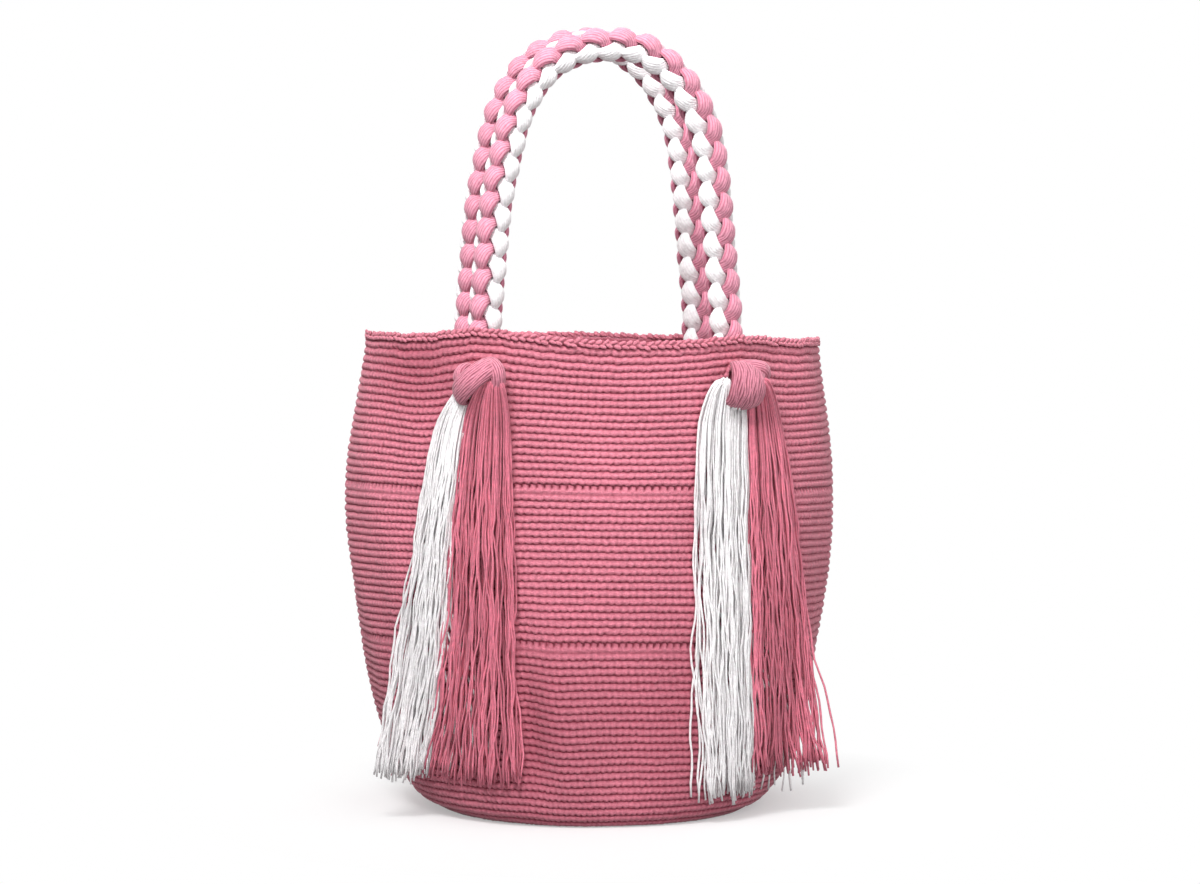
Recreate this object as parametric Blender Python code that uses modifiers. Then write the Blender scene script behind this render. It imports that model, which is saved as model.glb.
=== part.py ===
"""Crocheted bucket bag with two braided handles that end in knots and yarn tassels.

Metres, +Z up, the front faces -Y. The bag stands on its base at the origin.
"""
import math

import bmesh
import bpy
from mathutils import Vector

OBJECT_NAME = "wayuu_mochila_bag"

# Clearance between neighbouring pieces
GAP = 0.0003

# Crochet rows, counted from the base up
ROW_PITCH = 0.0042
PLAIN_ROWS_BELOW = 24
PLAIN_ROWS_BETWEEN = 20
PLAIN_ROWS_ABOVE = 20
OPEN_ROW_HEIGHT = 0.0056
RIDGE_DEPTH = 0.0010
OPEN_RIDGE_DEPTH = 0.0016
WALL = 0.0040
FLOOR = 0.0050
SECTORS = 18

# Half widths (left to right) and half depths (front to back), base to rim
CONTACT_HALF_WIDTH = 0.0900
CONTACT_HALF_DEPTH = 0.0950
HEEL_HALF_WIDTH = 0.1050
HEEL_HALF_DEPTH = 0.1020
HEEL_LEVEL = 0.03
HIP_HALF_WIDTH = 0.1225
HIP_HALF_DEPTH = 0.1010
HIP_LEVEL = 0.14
WAIST_HALF_WIDTH = 0.1363
WAIST_HALF_DEPTH = 0.0930
WAIST_LEVEL = 0.37
BELLY_HALF_WIDTH = 0.1460
BELLY_HALF_DEPTH = 0.0840
BELLY_LEVEL = 0.69
RIM_HALF_WIDTH = 0.1355
RIM_HALF_DEPTH = 0.0880
SQUARENESS = 2.2

# How the soft wall sags: rows dip at the sides, lean to the right and fold at the front
SIDE_DIP = 0.0050
ROW_LEAN = math.tan(math.radians(1.0))
FOLD_DEPTH = 0.0030
FOLD_HALF_ANGLE = math.radians(24.0)
FOLD_ANGLE = math.radians(240.0)

# Eyelets below the rim
EYELET_RADIUS = 0.0078
EYELET_DROP = 0.0235
EYELET_HALF_SPACING = 0.0750
EYELET_SHIFT = 0.0040

# Knot outside each eyelet, with its neck and the bend inside the wall
NECK_CLEARANCE = 0.0005
BEND_RADIUS = 0.0105
KNOT_HALF_WIDTH = 0.0145
KNOT_HALF_HEIGHT = 0.0120
KNOT_DEPTH = 0.0200
KNOT_SIDES = 8
KNOT_STAND_OFF = 0.0008
KNOT_TUCK = 1.07

# Four-strand round braid
LEVEL_PITCH = 0.0074
OVER_RADIUS = 0.0077
UNDER_RADIUS = 0.0023
OVER_WIDTH = 0.0104
UNDER_WIDTH = 0.0044
OVER_THICKNESS = 0.0046
UNDER_THICKNESS = 0.0030
BEAD_CORNERS = ((1.0, 0.22), (0.7, 0.5), (-1.0, 0.0), (0.7, -0.5), (1.0, -0.22))
TURNED_BEAD_CORNERS = ((-1.0, 0.0), (0.7, -0.5), (1.0, -0.22), (1.0, 0.22), (0.7, 0.5))
PINCH_CORNERS = (13, 90, 167, 233, 307)
END_SCALE = 0.74
TAPER_LEVELS = 2

# Handle centre line above the rim: shares of the half span and of the rise
HANDLE_RISE = 0.1680
BACK_HANDLE_EXTRA_RISE = 0.0080
ARCH_ROUTE = (
    (-1.0, 0.0), (-0.985, 0.1), (-0.915, 0.42), (-0.835, 0.6), (-0.72, 0.775), (-0.5, 0.917),
    (-0.22, 0.985), (0.045, 1.0), (0.3, 0.985), (0.585, 0.895), (0.795, 0.745), (0.885, 0.575),
    (0.96, 0.25), (0.995, 0.1), (1.0, 0.0),
)

# Tassels: edges measured from the knot's centre, as (share of length, left, right)
TASSEL_THICKNESS = 0.0105
TASSEL_FLUTE = 0.0022
TASSEL_RAGGED = 0.0050
TASSEL_RINGS = 7
TASSEL_SIDE_HANG = 0.0560
TASSEL_LIE = 0.0005
BED_SAMPLES = 8
LEFT_WHITE_LENGTH = 0.2180
LEFT_PINK_LENGTH = 0.2200
RIGHT_WHITE_LENGTH = 0.2300
RIGHT_PINK_LENGTH = 0.2190
LEFT_WHITE_EDGES = ((0.0, -0.021, -0.009), (0.3, -0.031, -0.016), (0.65, -0.043, -0.021), (1.0, -0.061, -0.031))
LEFT_PINK_EDGES = ((0.0, -0.009, 0.013), (0.3, -0.016, 0.015), (0.65, -0.021, 0.017), (1.0, -0.031, 0.020))
RIGHT_WHITE_EDGES = ((0.0, -0.019, 0.003), (0.3, -0.025, 0.005), (0.65, -0.025, 0.006), (1.0, -0.026, 0.008))
RIGHT_PINK_EDGES = ((0.0, 0.003, 0.015), (0.3, 0.005, 0.030), (0.65, 0.006, 0.040), (1.0, 0.008, 0.051))

ROSE = (0.60, 0.15, 0.22)
BRAID_PINK = (0.75, 0.26, 0.38)
YARN_WHITE = (0.86, 0.86, 0.88)

# Nominal radius that the wall's turned profile is drawn at before it takes its oval sections
TURNED_RADIUS = 0.1000


def row_heights():
    """Height of each crochet row from the base up, and how deep its lower groove is."""
    open_row = [(OPEN_ROW_HEIGHT, OPEN_RIDGE_DEPTH)]
    plain = (ROW_PITCH, RIDGE_DEPTH)
    return ([plain] * PLAIN_ROWS_BELOW + open_row + [plain] * PLAIN_ROWS_BETWEEN + open_row
            + [plain] * PLAIN_ROWS_ABOVE)


BODY_HEIGHT = sum(height for height, groove in row_heights())
EYELET_HEIGHT = BODY_HEIGHT - EYELET_DROP
NECK_RADIUS = EYELET_RADIUS - NECK_CLEARANCE

STATIONS = (
    (0.0, CONTACT_HALF_WIDTH, CONTACT_HALF_DEPTH),
    (HEEL_LEVEL, HEEL_HALF_WIDTH, HEEL_HALF_DEPTH),
    (HIP_LEVEL, HIP_HALF_WIDTH, HIP_HALF_DEPTH),
    (WAIST_LEVEL, WAIST_HALF_WIDTH, WAIST_HALF_DEPTH),
    (BELLY_LEVEL, BELLY_HALF_WIDTH, BELLY_HALF_DEPTH),
    (1.0, RIM_HALF_WIDTH, RIM_HALF_DEPTH),
)


def read_table(rows, share):
    """Values of a table at a share from 0 to 1, smoothly between its rows."""
    share = min(max(share, rows[0][0]), rows[-1][0])
    slopes = []
    for index, row in enumerate(rows):
        before = rows[max(index - 1, 0)]
        after = rows[min(index + 1, len(rows) - 1)]
        run = after[0] - before[0]
        slopes.append([(b - a) / run for a, b in zip(before[1:], after[1:])])
    index = 0
    while index < len(rows) - 2 and share > rows[index + 1][0]:
        index += 1
    low, high = rows[index], rows[index + 1]
    run = high[0] - low[0]
    t = (share - low[0]) / run
    values = []
    for column in range(len(low) - 1):
        start, end = low[column + 1], high[column + 1]
        rise_in, rise_out = slopes[index][column] * run, slopes[index + 1][column] * run
        values.append((2 * t ** 3 - 3 * t ** 2 + 1) * start + (t ** 3 - 2 * t ** 2 + t) * rise_in
                      + (3 * t ** 2 - 2 * t ** 3) * end + (t ** 3 - t ** 2) * rise_out)
    return values


def smooth_step(value):
    """Ease from 0 to 1."""
    value = min(max(value, 0.0), 1.0)
    return value * value * (3 - 2 * value)


def fold_offset(angle, height):
    """Depth of the soft vertical fold to the left of the front's middle."""
    spread = (angle - FOLD_ANGLE) / FOLD_HALF_ANGLE
    upper_end = smooth_step((0.75 * BODY_HEIGHT - height) / (0.35 * BODY_HEIGHT))
    lower_end = smooth_step(height / (0.15 * BODY_HEIGHT))
    return -FOLD_DEPTH * math.exp(-spread * spread) * upper_end * lower_end


def wall_point(angle, height, inset=0.0):
    """Point on the oval wall, `inset` inside its outer crests."""
    half_width, half_depth = read_table(STATIONS, height / BODY_HEIGHT)
    cosine, sine = math.cos(angle), math.sin(angle)
    swell = (abs(cosine) ** SQUARENESS + abs(sine) ** SQUARENESS) ** (-1 / SQUARENESS)
    offset = fold_offset(angle % (2 * math.pi), height) - inset
    x = (half_width + offset) * cosine * swell
    y = (half_depth + offset) * sine * swell
    share = height / BODY_HEIGHT
    dip = SIDE_DIP * cosine * cosine * 4 * share * (1 - share)
    settled = smooth_step(height / (0.2 * BODY_HEIGHT))
    return Vector((x, y, height - (dip + ROW_LEAN * x) * settled))


def wall_profile():
    """Half section as (radius, height): floor, inside, rim, then row by row down the outside."""
    inner = TURNED_RADIUS - WALL
    points = [(0.0, FLOOR), (0.5 * inner, FLOOR), (inner - 0.5 * WALL, FLOOR)]
    for share in (0.045, 0.12, 0.25, 0.42, 0.58, 0.72, 0.86):
        points.append((inner, share * BODY_HEIGHT))
    top_pitch, top_groove = row_heights()[-1]
    points.append((inner, BODY_HEIGHT - 0.5 * top_pitch))
    points.append((inner + 0.25 * WALL, BODY_HEIGHT))
    points.append((TURNED_RADIUS - 0.25 * WALL, BODY_HEIGHT))
    height = BODY_HEIGHT
    for pitch, groove in reversed(row_heights()):
        points.append((TURNED_RADIUS, height - 0.5 * pitch))
        height -= pitch
        if height > 0.5 * ROW_PITCH:
            points.append((TURNED_RADIUS - groove, height))
    points.append((TURNED_RADIUS - RIDGE_DEPTH, 0.0))
    points.append((0.5 * TURNED_RADIUS, 0.0))
    points.append((0.0, 0.0))
    return points


def make_material(name, colour, roughness=0.85):
    """Principled material of one sub-part."""
    material = bpy.data.materials.new(name)
    material.use_nodes = True
    shader = material.node_tree.nodes["Principled BSDF"]
    shader.inputs["Base Color"].default_value = (*colour, 1.0)
    shader.inputs["Roughness"].default_value = roughness
    shader.inputs["Metallic"].default_value = 0.0
    return material


def make_object(name, mesh, collection, colour):
    """One named object with its own material."""
    made = bpy.data.objects.new(name, mesh)
    collection.objects.link(made)
    mesh.materials.append(make_material(name + "_yarn", colour))
    return made


def loft(name, sections, collection, colour):
    """Closed solid through rings of points, capped at both ends."""
    shape = bmesh.new()
    rings = [[shape.verts.new(point) for point in section] for section in sections]
    count = len(rings[0])
    for lower, upper in zip(rings, rings[1:]):
        for side in range(count):
            after = (side + 1) % count
            shape.faces.new((lower[side], lower[after], upper[side]))
            shape.faces.new((lower[after], upper[after], upper[side]))
    shape.faces.new(list(reversed(rings[0])))
    shape.faces.new(rings[-1])
    bmesh.ops.triangulate(shape, faces=shape.faces[:])
    bmesh.ops.recalc_face_normals(shape, faces=shape.faces[:])
    mesh = bpy.data.meshes.new(name)
    shape.to_mesh(mesh)
    shape.free()
    mesh.shade_smooth()
    return make_object(name, mesh, collection, colour)


def make_body(collection):
    """Turned wall and floor, drawn out to the bag's oval sections."""
    points = wall_profile()
    mesh = bpy.data.meshes.new("crochet_body")
    mesh.from_pydata([(radius, 0.0, height) for radius, height in points],
                     [(index, index + 1) for index in range(len(points) - 1)], [])
    body = make_object("crochet_body", mesh, collection, ROSE)
    turn = body.modifiers.new("turn", "SCREW")
    turn.axis = "Z"
    turn.steps = SECTORS
    turn.render_steps = SECTORS
    turn.use_merge_vertices = True
    turn.merge_threshold = 0.0001
    turn.use_smooth_shade = True
    bpy.context.view_layer.objects.active = body
    bpy.ops.object.modifier_apply(modifier="turn")
    for vertex in body.data.vertices:
        x, y, height = vertex.co
        radius = math.hypot(x, y)
        angle = math.atan2(y, x)
        if radius > 0.6 * TURNED_RADIUS:
            vertex.co = wall_point(angle, height, TURNED_RADIUS - radius)
        else:
            edge = wall_point(angle, 0.0)
            share = radius / TURNED_RADIUS
            vertex.co = (edge.x * share, edge.y * share, height)
    return body


def wall_corner(angle, level):
    """Point on the wall's crests at this angle where it passes this level, after sag and lean."""
    height = level
    for _ in range(3):
        point = wall_point(angle, height)
        height += level - point.z
    return Vector((point.x, point.y, level))


def wall_seat(x, level, side):
    """Point on the faceted outside at this x, and the horizontal outward normal (side -1 front, 1 back)."""
    step = 2 * math.pi / SECTORS
    corners = [wall_corner(side * step * index, level) for index in range(SECTORS // 2 + 1)]
    for right, left in zip(corners, corners[1:]):
        if left.x <= x <= right.x:
            share = (x - left.x) / (right.x - left.x)
            along = (right - left).to_2d().normalized()
            normal = Vector((along.y, -along.x, 0.0)) * -side
            return left.lerp(right, share), normal
    return None, None


def wall_depth(x, height, side):
    """How far the outside reaches to the front or back at this x; yarn past the side hangs straight."""
    seat, normal = wall_seat(x, height, side)
    reach = abs(seat.y) if seat else 0.0
    return max(reach, TASSEL_SIDE_HANG)


def cut_eyelet(body, seat, normal, name, cutters):
    """Round hole through the wall at one eyelet."""
    cutter_mesh = bpy.data.meshes.new(name)
    shape = bmesh.new()
    bmesh.ops.create_cone(shape, cap_ends=True, segments=10, radius1=EYELET_RADIUS, radius2=EYELET_RADIUS,
                          depth=6 * WALL)
    shape.to_mesh(cutter_mesh)
    shape.free()
    cutter = bpy.data.objects.new(name, cutter_mesh)
    cutters.objects.link(cutter)
    cutter.rotation_euler = normal.to_track_quat("Z", "Y").to_euler()
    cutter.location = seat
    cutter.hide_render = True
    cutter.display_type = "WIRE"
    cut = body.modifiers.new(name, "BOOLEAN")
    cut.operation = "DIFFERENCE"
    cut.solver = "EXACT"
    cut.object = cutter


def make_knot(name, seat, normal, collection):
    """Fat wrapped knot outside the wall, its neck in the eyelet and the bend up inside."""
    up = Vector((0.0, 0.0, 1.0))
    across = up.cross(normal)
    inside = WALL + GAP
    sections = []

    def add_ring(out, rise, tilt, half_width, half_height, twist=0.0):
        centre = seat + normal * out + up * rise
        raised = up * math.cos(tilt) - normal * -math.sin(tilt)
        ring = []
        for side in range(KNOT_SIDES):
            turn = 2 * math.pi * (side + 0.5) / KNOT_SIDES
            wrap = 1 + twist * math.cos(2 * (turn - math.radians(50)))
            ring.append(centre + across * half_width * wrap * math.cos(turn)
                        + raised * half_height * wrap * math.sin(turn))
        sections.append(ring)

    for degrees in (90, 60, 30, 0):
        bend = math.radians(degrees)
        add_ring(-inside - BEND_RADIUS * math.sin(bend), BEND_RADIUS * (1 - math.cos(bend)), bend,
                 NECK_RADIUS, NECK_RADIUS)
    swell = ((0.0, 0.62), (0.2, 0.95), (0.6, 1.0), (0.88, 0.72))
    add_ring(KNOT_STAND_OFF, 0.0, 0.0, NECK_RADIUS, NECK_RADIUS)
    for share, size in swell:
        out = 2 * KNOT_STAND_OFF + share * (KNOT_DEPTH - 2 * KNOT_STAND_OFF)
        add_ring(out, 0.0, 0.0, KNOT_HALF_WIDTH * size, KNOT_HALF_HEIGHT * size, 0.07)
    add_ring(KNOT_DEPTH, 0.0, 0.0, 0.3 * KNOT_HALF_WIDTH, 0.3 * KNOT_HALF_HEIGHT)
    return loft(name, sections, collection, BRAID_PINK)


def tassel_bed(left, right, level, half_step, side):
    """Depths at a tassel's two edges of the flat bed that just clears the wall around this level."""
    left_bed, right_bed = 0.0, 0.0
    for near in (level - half_step, level, level + half_step):
        left_reach = wall_depth(left, near, side)
        right_reach = wall_depth(right, near, side)
        bulge = 0.0
        for step in range(1, BED_SAMPLES):
            share = step / BED_SAMPLES
            chord = left_reach + (right_reach - left_reach) * share
            bulge = max(bulge, wall_depth(left + (right - left) * share, near, side) - chord)
        left_bed = max(left_bed, left_reach + bulge + TASSEL_LIE)
        right_bed = max(right_bed, right_reach + bulge + TASSEL_LIE)
    return left_bed, right_bed


def make_tassel(name, knot_seat, normal, length, edges, colour, collection):
    """Bundle of yarn ends that hangs from a knot and lies against the wall."""
    side = 1 if normal.y > 0 else -1
    along_wall = Vector((normal.y, -normal.x, 0.0))
    sections = []
    lowest = knot_seat.z - KNOT_HALF_HEIGHT - length
    half_step = 0.5 * length / (TASSEL_RINGS - 1)
    for ring in range(TASSEL_RINGS):
        share = ring / (TASSEL_RINGS - 1)
        left, right = read_table(edges, share)
        left += knot_seat.x + 0.5 * GAP
        right += knot_seat.x - 0.5 * GAP
        fullness = 0.75 + 0.25 * math.sin(math.pi * min(share * 1.4, 1.0))
        level = knot_seat.z - KNOT_HALF_HEIGHT - length * share
        left_reach, right_reach = tassel_bed(left, right, level, half_step, side)
        section = []
        for number, place in enumerate((0.0, 0.25, 0.5, 0.75, 1.0, 0.88, 0.12)):
            reach = left_reach + (right_reach - left_reach) * place
            if number < 5:
                flute = TASSEL_FLUTE * (1 if number % 2 else -1)
                edge_share = 0.55 if place in (0.0, 1.0) else 1.0
                reach += (TASSEL_THICKNESS + flute) * fullness * edge_share
            point = Vector((left + (right - left) * place, side * reach, knot_seat.z))
            offset = along_wall.dot(point - knot_seat) / KNOT_HALF_WIDTH
            knot_edge = KNOT_HALF_HEIGHT * math.sqrt(max(1 - offset * offset, 0.25))
            top = knot_seat.z - KNOT_TUCK * knot_edge - GAP
            ragged = TASSEL_RAGGED * math.cos(9 * place + 2 * length / TASSEL_RAGGED) * share ** 6
            point.z = top + (lowest + ragged - top) * share
            section.append(point)
        sections.append(section)
    return loft(name, sections, collection, colour)


def smooth_route(points, count):
    """Evenly spaced points on a smooth curve through the given points."""
    fine = []
    steps = 24
    for index in range(len(points) - 1):
        p0 = points[max(index - 1, 0)]
        p1, p2 = points[index], points[index + 1]
        p3 = points[min(index + 2, len(points) - 1)]
        for step in range(steps):
            t = step / steps
            fine.append(0.5 * (2 * p1 + (p2 - p0) * t + (2 * p0 - 5 * p1 + 4 * p2 - p3) * t ** 2
                               + (3 * p1 - p0 - 3 * p2 + p3) * t ** 3))
    fine.append(points[-1])
    travelled = [0.0]
    for before, after in zip(fine, fine[1:]):
        travelled.append(travelled[-1] + (after - before).length)
    if count is None:
        count = round(travelled[-1] / LEVEL_PITCH) + 1
    spaced = []
    place = 0
    for index in range(count):
        wanted = travelled[-1] * index / (count - 1)
        while place < len(fine) - 2 and travelled[place + 1] < wanted:
            place += 1
        share = (wanted - travelled[place]) / (travelled[place + 1] - travelled[place])
        spaced.append(fine[place].lerp(fine[place + 1], share))
    return spaced


def handle_levels(left_foot, right_foot, rise):
    """Centre line of one handle, one point for each crossing of its strands."""
    middle = (left_foot + right_foot) / 2
    half_span = (right_foot - left_foot) / 2
    rim_rise = BODY_HEIGHT - (left_foot.z + right_foot.z) / 2
    points = [left_foot]
    for across, up in ARCH_ROUTE:
        place = middle + half_span * across
        place.z = place.z + rim_rise + rise * up
        points.append(place)
    points.append(right_foot)
    return smooth_route(points, None)


def make_strands(prefix, levels, outward, collection):
    """Two pink strands that turn one way and two white ones that turn the other, crossing at each level."""
    strands = (("pink", 1, 45, BRAID_PINK), ("pink", 1, 225, BRAID_PINK),
               ("white", -1, 45, YARN_WHITE), ("white", -1, 225, YARN_WHITE))
    for number, (tint, turning, start, colour) in enumerate(strands):
        sections = []
        first_bead = 0 if turning > 0 else 1
        bead_azimuth = math.radians(start + 90 * turning * first_bead)
        for level, centre in enumerate(levels):
            before = levels[max(level - 1, 0)]
            after = levels[min(level + 1, len(levels) - 1)]
            along = (after - before).normalized()
            facing = (outward - along * outward.dot(along)).normalized()
            arch_out = facing.cross(along)

            def toward(azimuth):
                return arch_out * math.cos(azimuth) + facing * math.sin(azimuth)

            end_distance = min(level, len(levels) - 1 - level)
            size = END_SCALE + (1 - END_SCALE) * smooth_step(end_distance / TAPER_LEVELS)
            azimuth = math.radians(start + 90 * turning * level)
            ring = []
            if (level - first_bead) % 2 == 0:
                # Every second bead faces the other way; its corners change names, so that the strand doesn't twist
                turned = (level - first_bead) // 2 % 2
                for lift, spread in TURNED_BEAD_CORNERS if turned else BEAD_CORNERS:
                    out = (OVER_RADIUS + 0.5 * OVER_THICKNESS * lift) * size
                    ring.append(centre + toward(azimuth) * out
                                + toward(azimuth + 0.5 * math.pi) * OVER_WIDTH * size * spread)
            else:
                middle = centre + toward(azimuth) * UNDER_RADIUS * size
                for degrees in PINCH_CORNERS:
                    corner = math.radians(degrees)
                    ring.append(middle + toward(bead_azimuth) * 0.5 * UNDER_WIDTH * size * math.cos(corner)
                                + toward(bead_azimuth + 0.5 * math.pi) * 0.5 * UNDER_THICKNESS * size
                                * math.sin(corner))
            sections.append(ring)
        if turning > 0:
            # Lofted from the other foot, its facets mirror those of the strands that it crosses
            sections.reverse()
        loft(f"{prefix}_{tint}_strand_{number % 2 + 1}", sections, collection, colour)


def build():
    """The whole bag."""
    for old in list(bpy.data.objects):
        bpy.data.objects.remove(old, do_unlink=True)
    collection = bpy.data.collections.new(OBJECT_NAME)
    cutters = bpy.data.collections.new("cutters")
    bpy.context.scene.collection.children.link(collection)
    bpy.context.scene.collection.children.link(cutters)

    body = make_body(collection)
    tassels = {
        "left": (("white", LEFT_WHITE_LENGTH, LEFT_WHITE_EDGES, YARN_WHITE),
                 ("pink", LEFT_PINK_LENGTH, LEFT_PINK_EDGES, BRAID_PINK)),
        "right": (("white", RIGHT_WHITE_LENGTH, RIGHT_WHITE_EDGES, YARN_WHITE),
                  ("pink", RIGHT_PINK_LENGTH, RIGHT_PINK_EDGES, BRAID_PINK)),
    }
    for face, side, extra in (("front", -1, 0.0), ("back", 1, BACK_HANDLE_EXTRA_RISE)):
        feet = []
        for hand, direction in (("left", -1), ("right", 1)):
            x = EYELET_SHIFT + direction * EYELET_HALF_SPACING
            seat, normal = wall_seat(x, EYELET_HEIGHT, side)
            cut_eyelet(body, seat, normal, f"eyelet_{face}_{hand}", cutters)
            make_knot(f"knot_{face}_{hand}", seat, normal, collection)
            for tint, length, edges, colour in tassels[hand]:
                make_tassel(f"tassel_{face}_{hand}_{tint}", seat, normal, length, edges, colour, collection)
            foot = seat - normal * (WALL + GAP + BEND_RADIUS)
            foot.z = seat.z + BEND_RADIUS + GAP
            feet.append(foot)
        levels = handle_levels(feet[0], feet[1], HANDLE_RISE + extra)
        make_strands(f"{face}_handle", levels, Vector((0.0, float(side), 0.0)), collection)


build()
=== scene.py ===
"""Looks of the crocheted bucket bag: crochet rows, braided handles, wrapped knots and yarn tassels.

Metres, +Z up, the front faces -Y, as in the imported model.
"""
import math

import bpy
import numpy as np
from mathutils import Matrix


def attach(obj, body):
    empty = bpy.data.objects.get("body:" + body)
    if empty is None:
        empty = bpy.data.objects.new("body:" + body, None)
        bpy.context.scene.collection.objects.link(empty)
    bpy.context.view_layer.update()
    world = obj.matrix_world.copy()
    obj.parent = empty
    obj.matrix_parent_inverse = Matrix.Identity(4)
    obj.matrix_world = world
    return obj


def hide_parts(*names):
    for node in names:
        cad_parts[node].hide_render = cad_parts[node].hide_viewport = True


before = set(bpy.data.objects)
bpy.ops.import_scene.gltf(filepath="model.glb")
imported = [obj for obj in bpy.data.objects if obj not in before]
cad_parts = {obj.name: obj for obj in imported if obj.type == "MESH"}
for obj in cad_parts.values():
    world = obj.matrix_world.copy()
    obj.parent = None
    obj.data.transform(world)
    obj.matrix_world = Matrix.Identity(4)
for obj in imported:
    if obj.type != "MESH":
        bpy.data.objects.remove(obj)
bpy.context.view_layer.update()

# Crochet rows, counted from the base up
ROW_PITCH = 0.0042
PLAIN_ROWS_BELOW = 24
PLAIN_ROWS_BETWEEN = 20
PLAIN_ROWS_ABOVE = 20
OPEN_ROW_HEIGHT = 0.0056
WALL = 0.0040
FLOOR = 0.0050
SECTORS = 18

# Oval sections of the wall: share of its height, half width, half depth
STATIONS = np.array((
    (0.00, 0.0900, 0.0950),
    (0.03, 0.1050, 0.1020),
    (0.14, 0.1225, 0.1010),
    (0.37, 0.1363, 0.0930),
    (0.69, 0.1460, 0.0840),
    (1.00, 0.1355, 0.0880),
))
SQUARENESS = 2.2
SIDE_DIP = 0.0050
ROW_LEAN = math.tan(math.radians(1.0))
FOLD_DEPTH = 0.0030
FOLD_HALF_ANGLE = math.radians(24.0)
FOLD_ANGLE = math.radians(240.0)

# Eyelets, knots and braids
GAP = 0.0003
EYELET_RADIUS = 0.0078
EYELET_DROP = 0.0235
EYELET_HALF_SPACING = 0.0750
EYELET_SHIFT = 0.0040
BEND_RADIUS = 0.0105
NECK_RADIUS = 0.0072
KNOT_HALF_HEIGHT = 0.0120
LEVEL_PITCH = 0.0074
HANDLE_RISE = 0.1680
BACK_HANDLE_EXTRA_RISE = 0.0080
ARCH_ROUTE = (
    (-1.0, 0.0), (-0.985, 0.1), (-0.915, 0.42), (-0.835, 0.6), (-0.72, 0.775), (-0.5, 0.917),
    (-0.22, 0.985), (0.045, 1.0), (0.3, 0.985), (0.585, 0.895), (0.795, 0.745), (0.885, 0.575),
    (0.96, 0.25), (0.995, 0.1), (1.0, 0.0),
)

# Tassels: length below the knot; edges from the knot's centre as (share of length, left, right); roots in
# the knot as (share of the yarns, right, outward, up, reach); strays as (yarn, share of the bundle's width)
TASSEL_THICKNESS = 0.0105
SIDE_HANG = 0.0560
TASSELS = {
    "left": (
        ("white", 0.2180,
         ((0.0, -0.020, -0.006), (0.08, -0.026, -0.009), (0.3, -0.035, -0.015), (0.65, -0.047, -0.021),
          (1.0, -0.061, -0.031)),
         ((1.0, -0.008, 0.007, -0.006, 0.12),),
         ((40, -0.12), (60, 0.3))),
        ("pink", 0.2200,
         ((0.0, -0.008, 0.014), (0.08, -0.011, 0.016), (0.3, -0.017, 0.017), (0.65, -0.023, 0.019),
          (1.0, -0.034, 0.021)),
         ((1.0, 0.005, 0.013, -0.001, 0.10),),
         ((33, -0.30), (35, -0.20), (37, -0.13))),
    ),
    "right": (
        ("white", 0.2300,
         ((0.0, -0.022, 0.004), (0.08, -0.026, 0.005), (0.3, -0.027, 0.005), (0.65, -0.026, 0.006),
          (1.0, -0.025, 0.008)),
         ((0.58, -0.011, 0.009, -0.001, 0.075), (0.42, -0.002, 0.009, -0.015, 0.05)),
         ((34, -0.22), (50, 0.3))),
        ("pink", 0.2190,
         ((0.0, 0.003, 0.018), (0.08, 0.004, 0.026), (0.3, 0.005, 0.034), (0.65, 0.006, 0.043),
          (1.0, 0.007, 0.054)),
         ((1.0, 0.009, 0.015, -0.001, 0.085),),
         ((95, 0.16), (93, 0.06), (33, -0.12))),
    ),
}
BACK_WHITE_NARROWER = 0.80

# Detail
STITCHES = 204
COLUMNS_PER_STITCH = 3
RING_SHARES = (0.0, 0.15, 0.40, 0.68, 0.90)
ROPE_DEPTH = 0.0015
STEPS_PER_LEVEL = 6
YARN_RADIUS = 0.00058
YARNS_PER_TASSEL = 96
YARNS_DRIFTING_BEHIND = 12
YARN_SIDES = 4
YARNS_PER_STRAND = 9
STRAND_FLUTE = 0.00030
WRAP_FLUTE = 0.00032
RIM_LOOP_HALF_LENGTH = 0.0024
RIM_LOOP_HALF_WIDTH = 0.00120
# Rounds of rim loops: drop, slant, outside or inside, thickness, stand-off
RIM_ROUNDS = ((-0.0001, 0.50, 1, 0.0006, 0.0002), (-0.0025, -0.36, 1, 0.0005, 0.0006),
              (-0.0004, 0.45, -1, 0.0007, 0.0))

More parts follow.
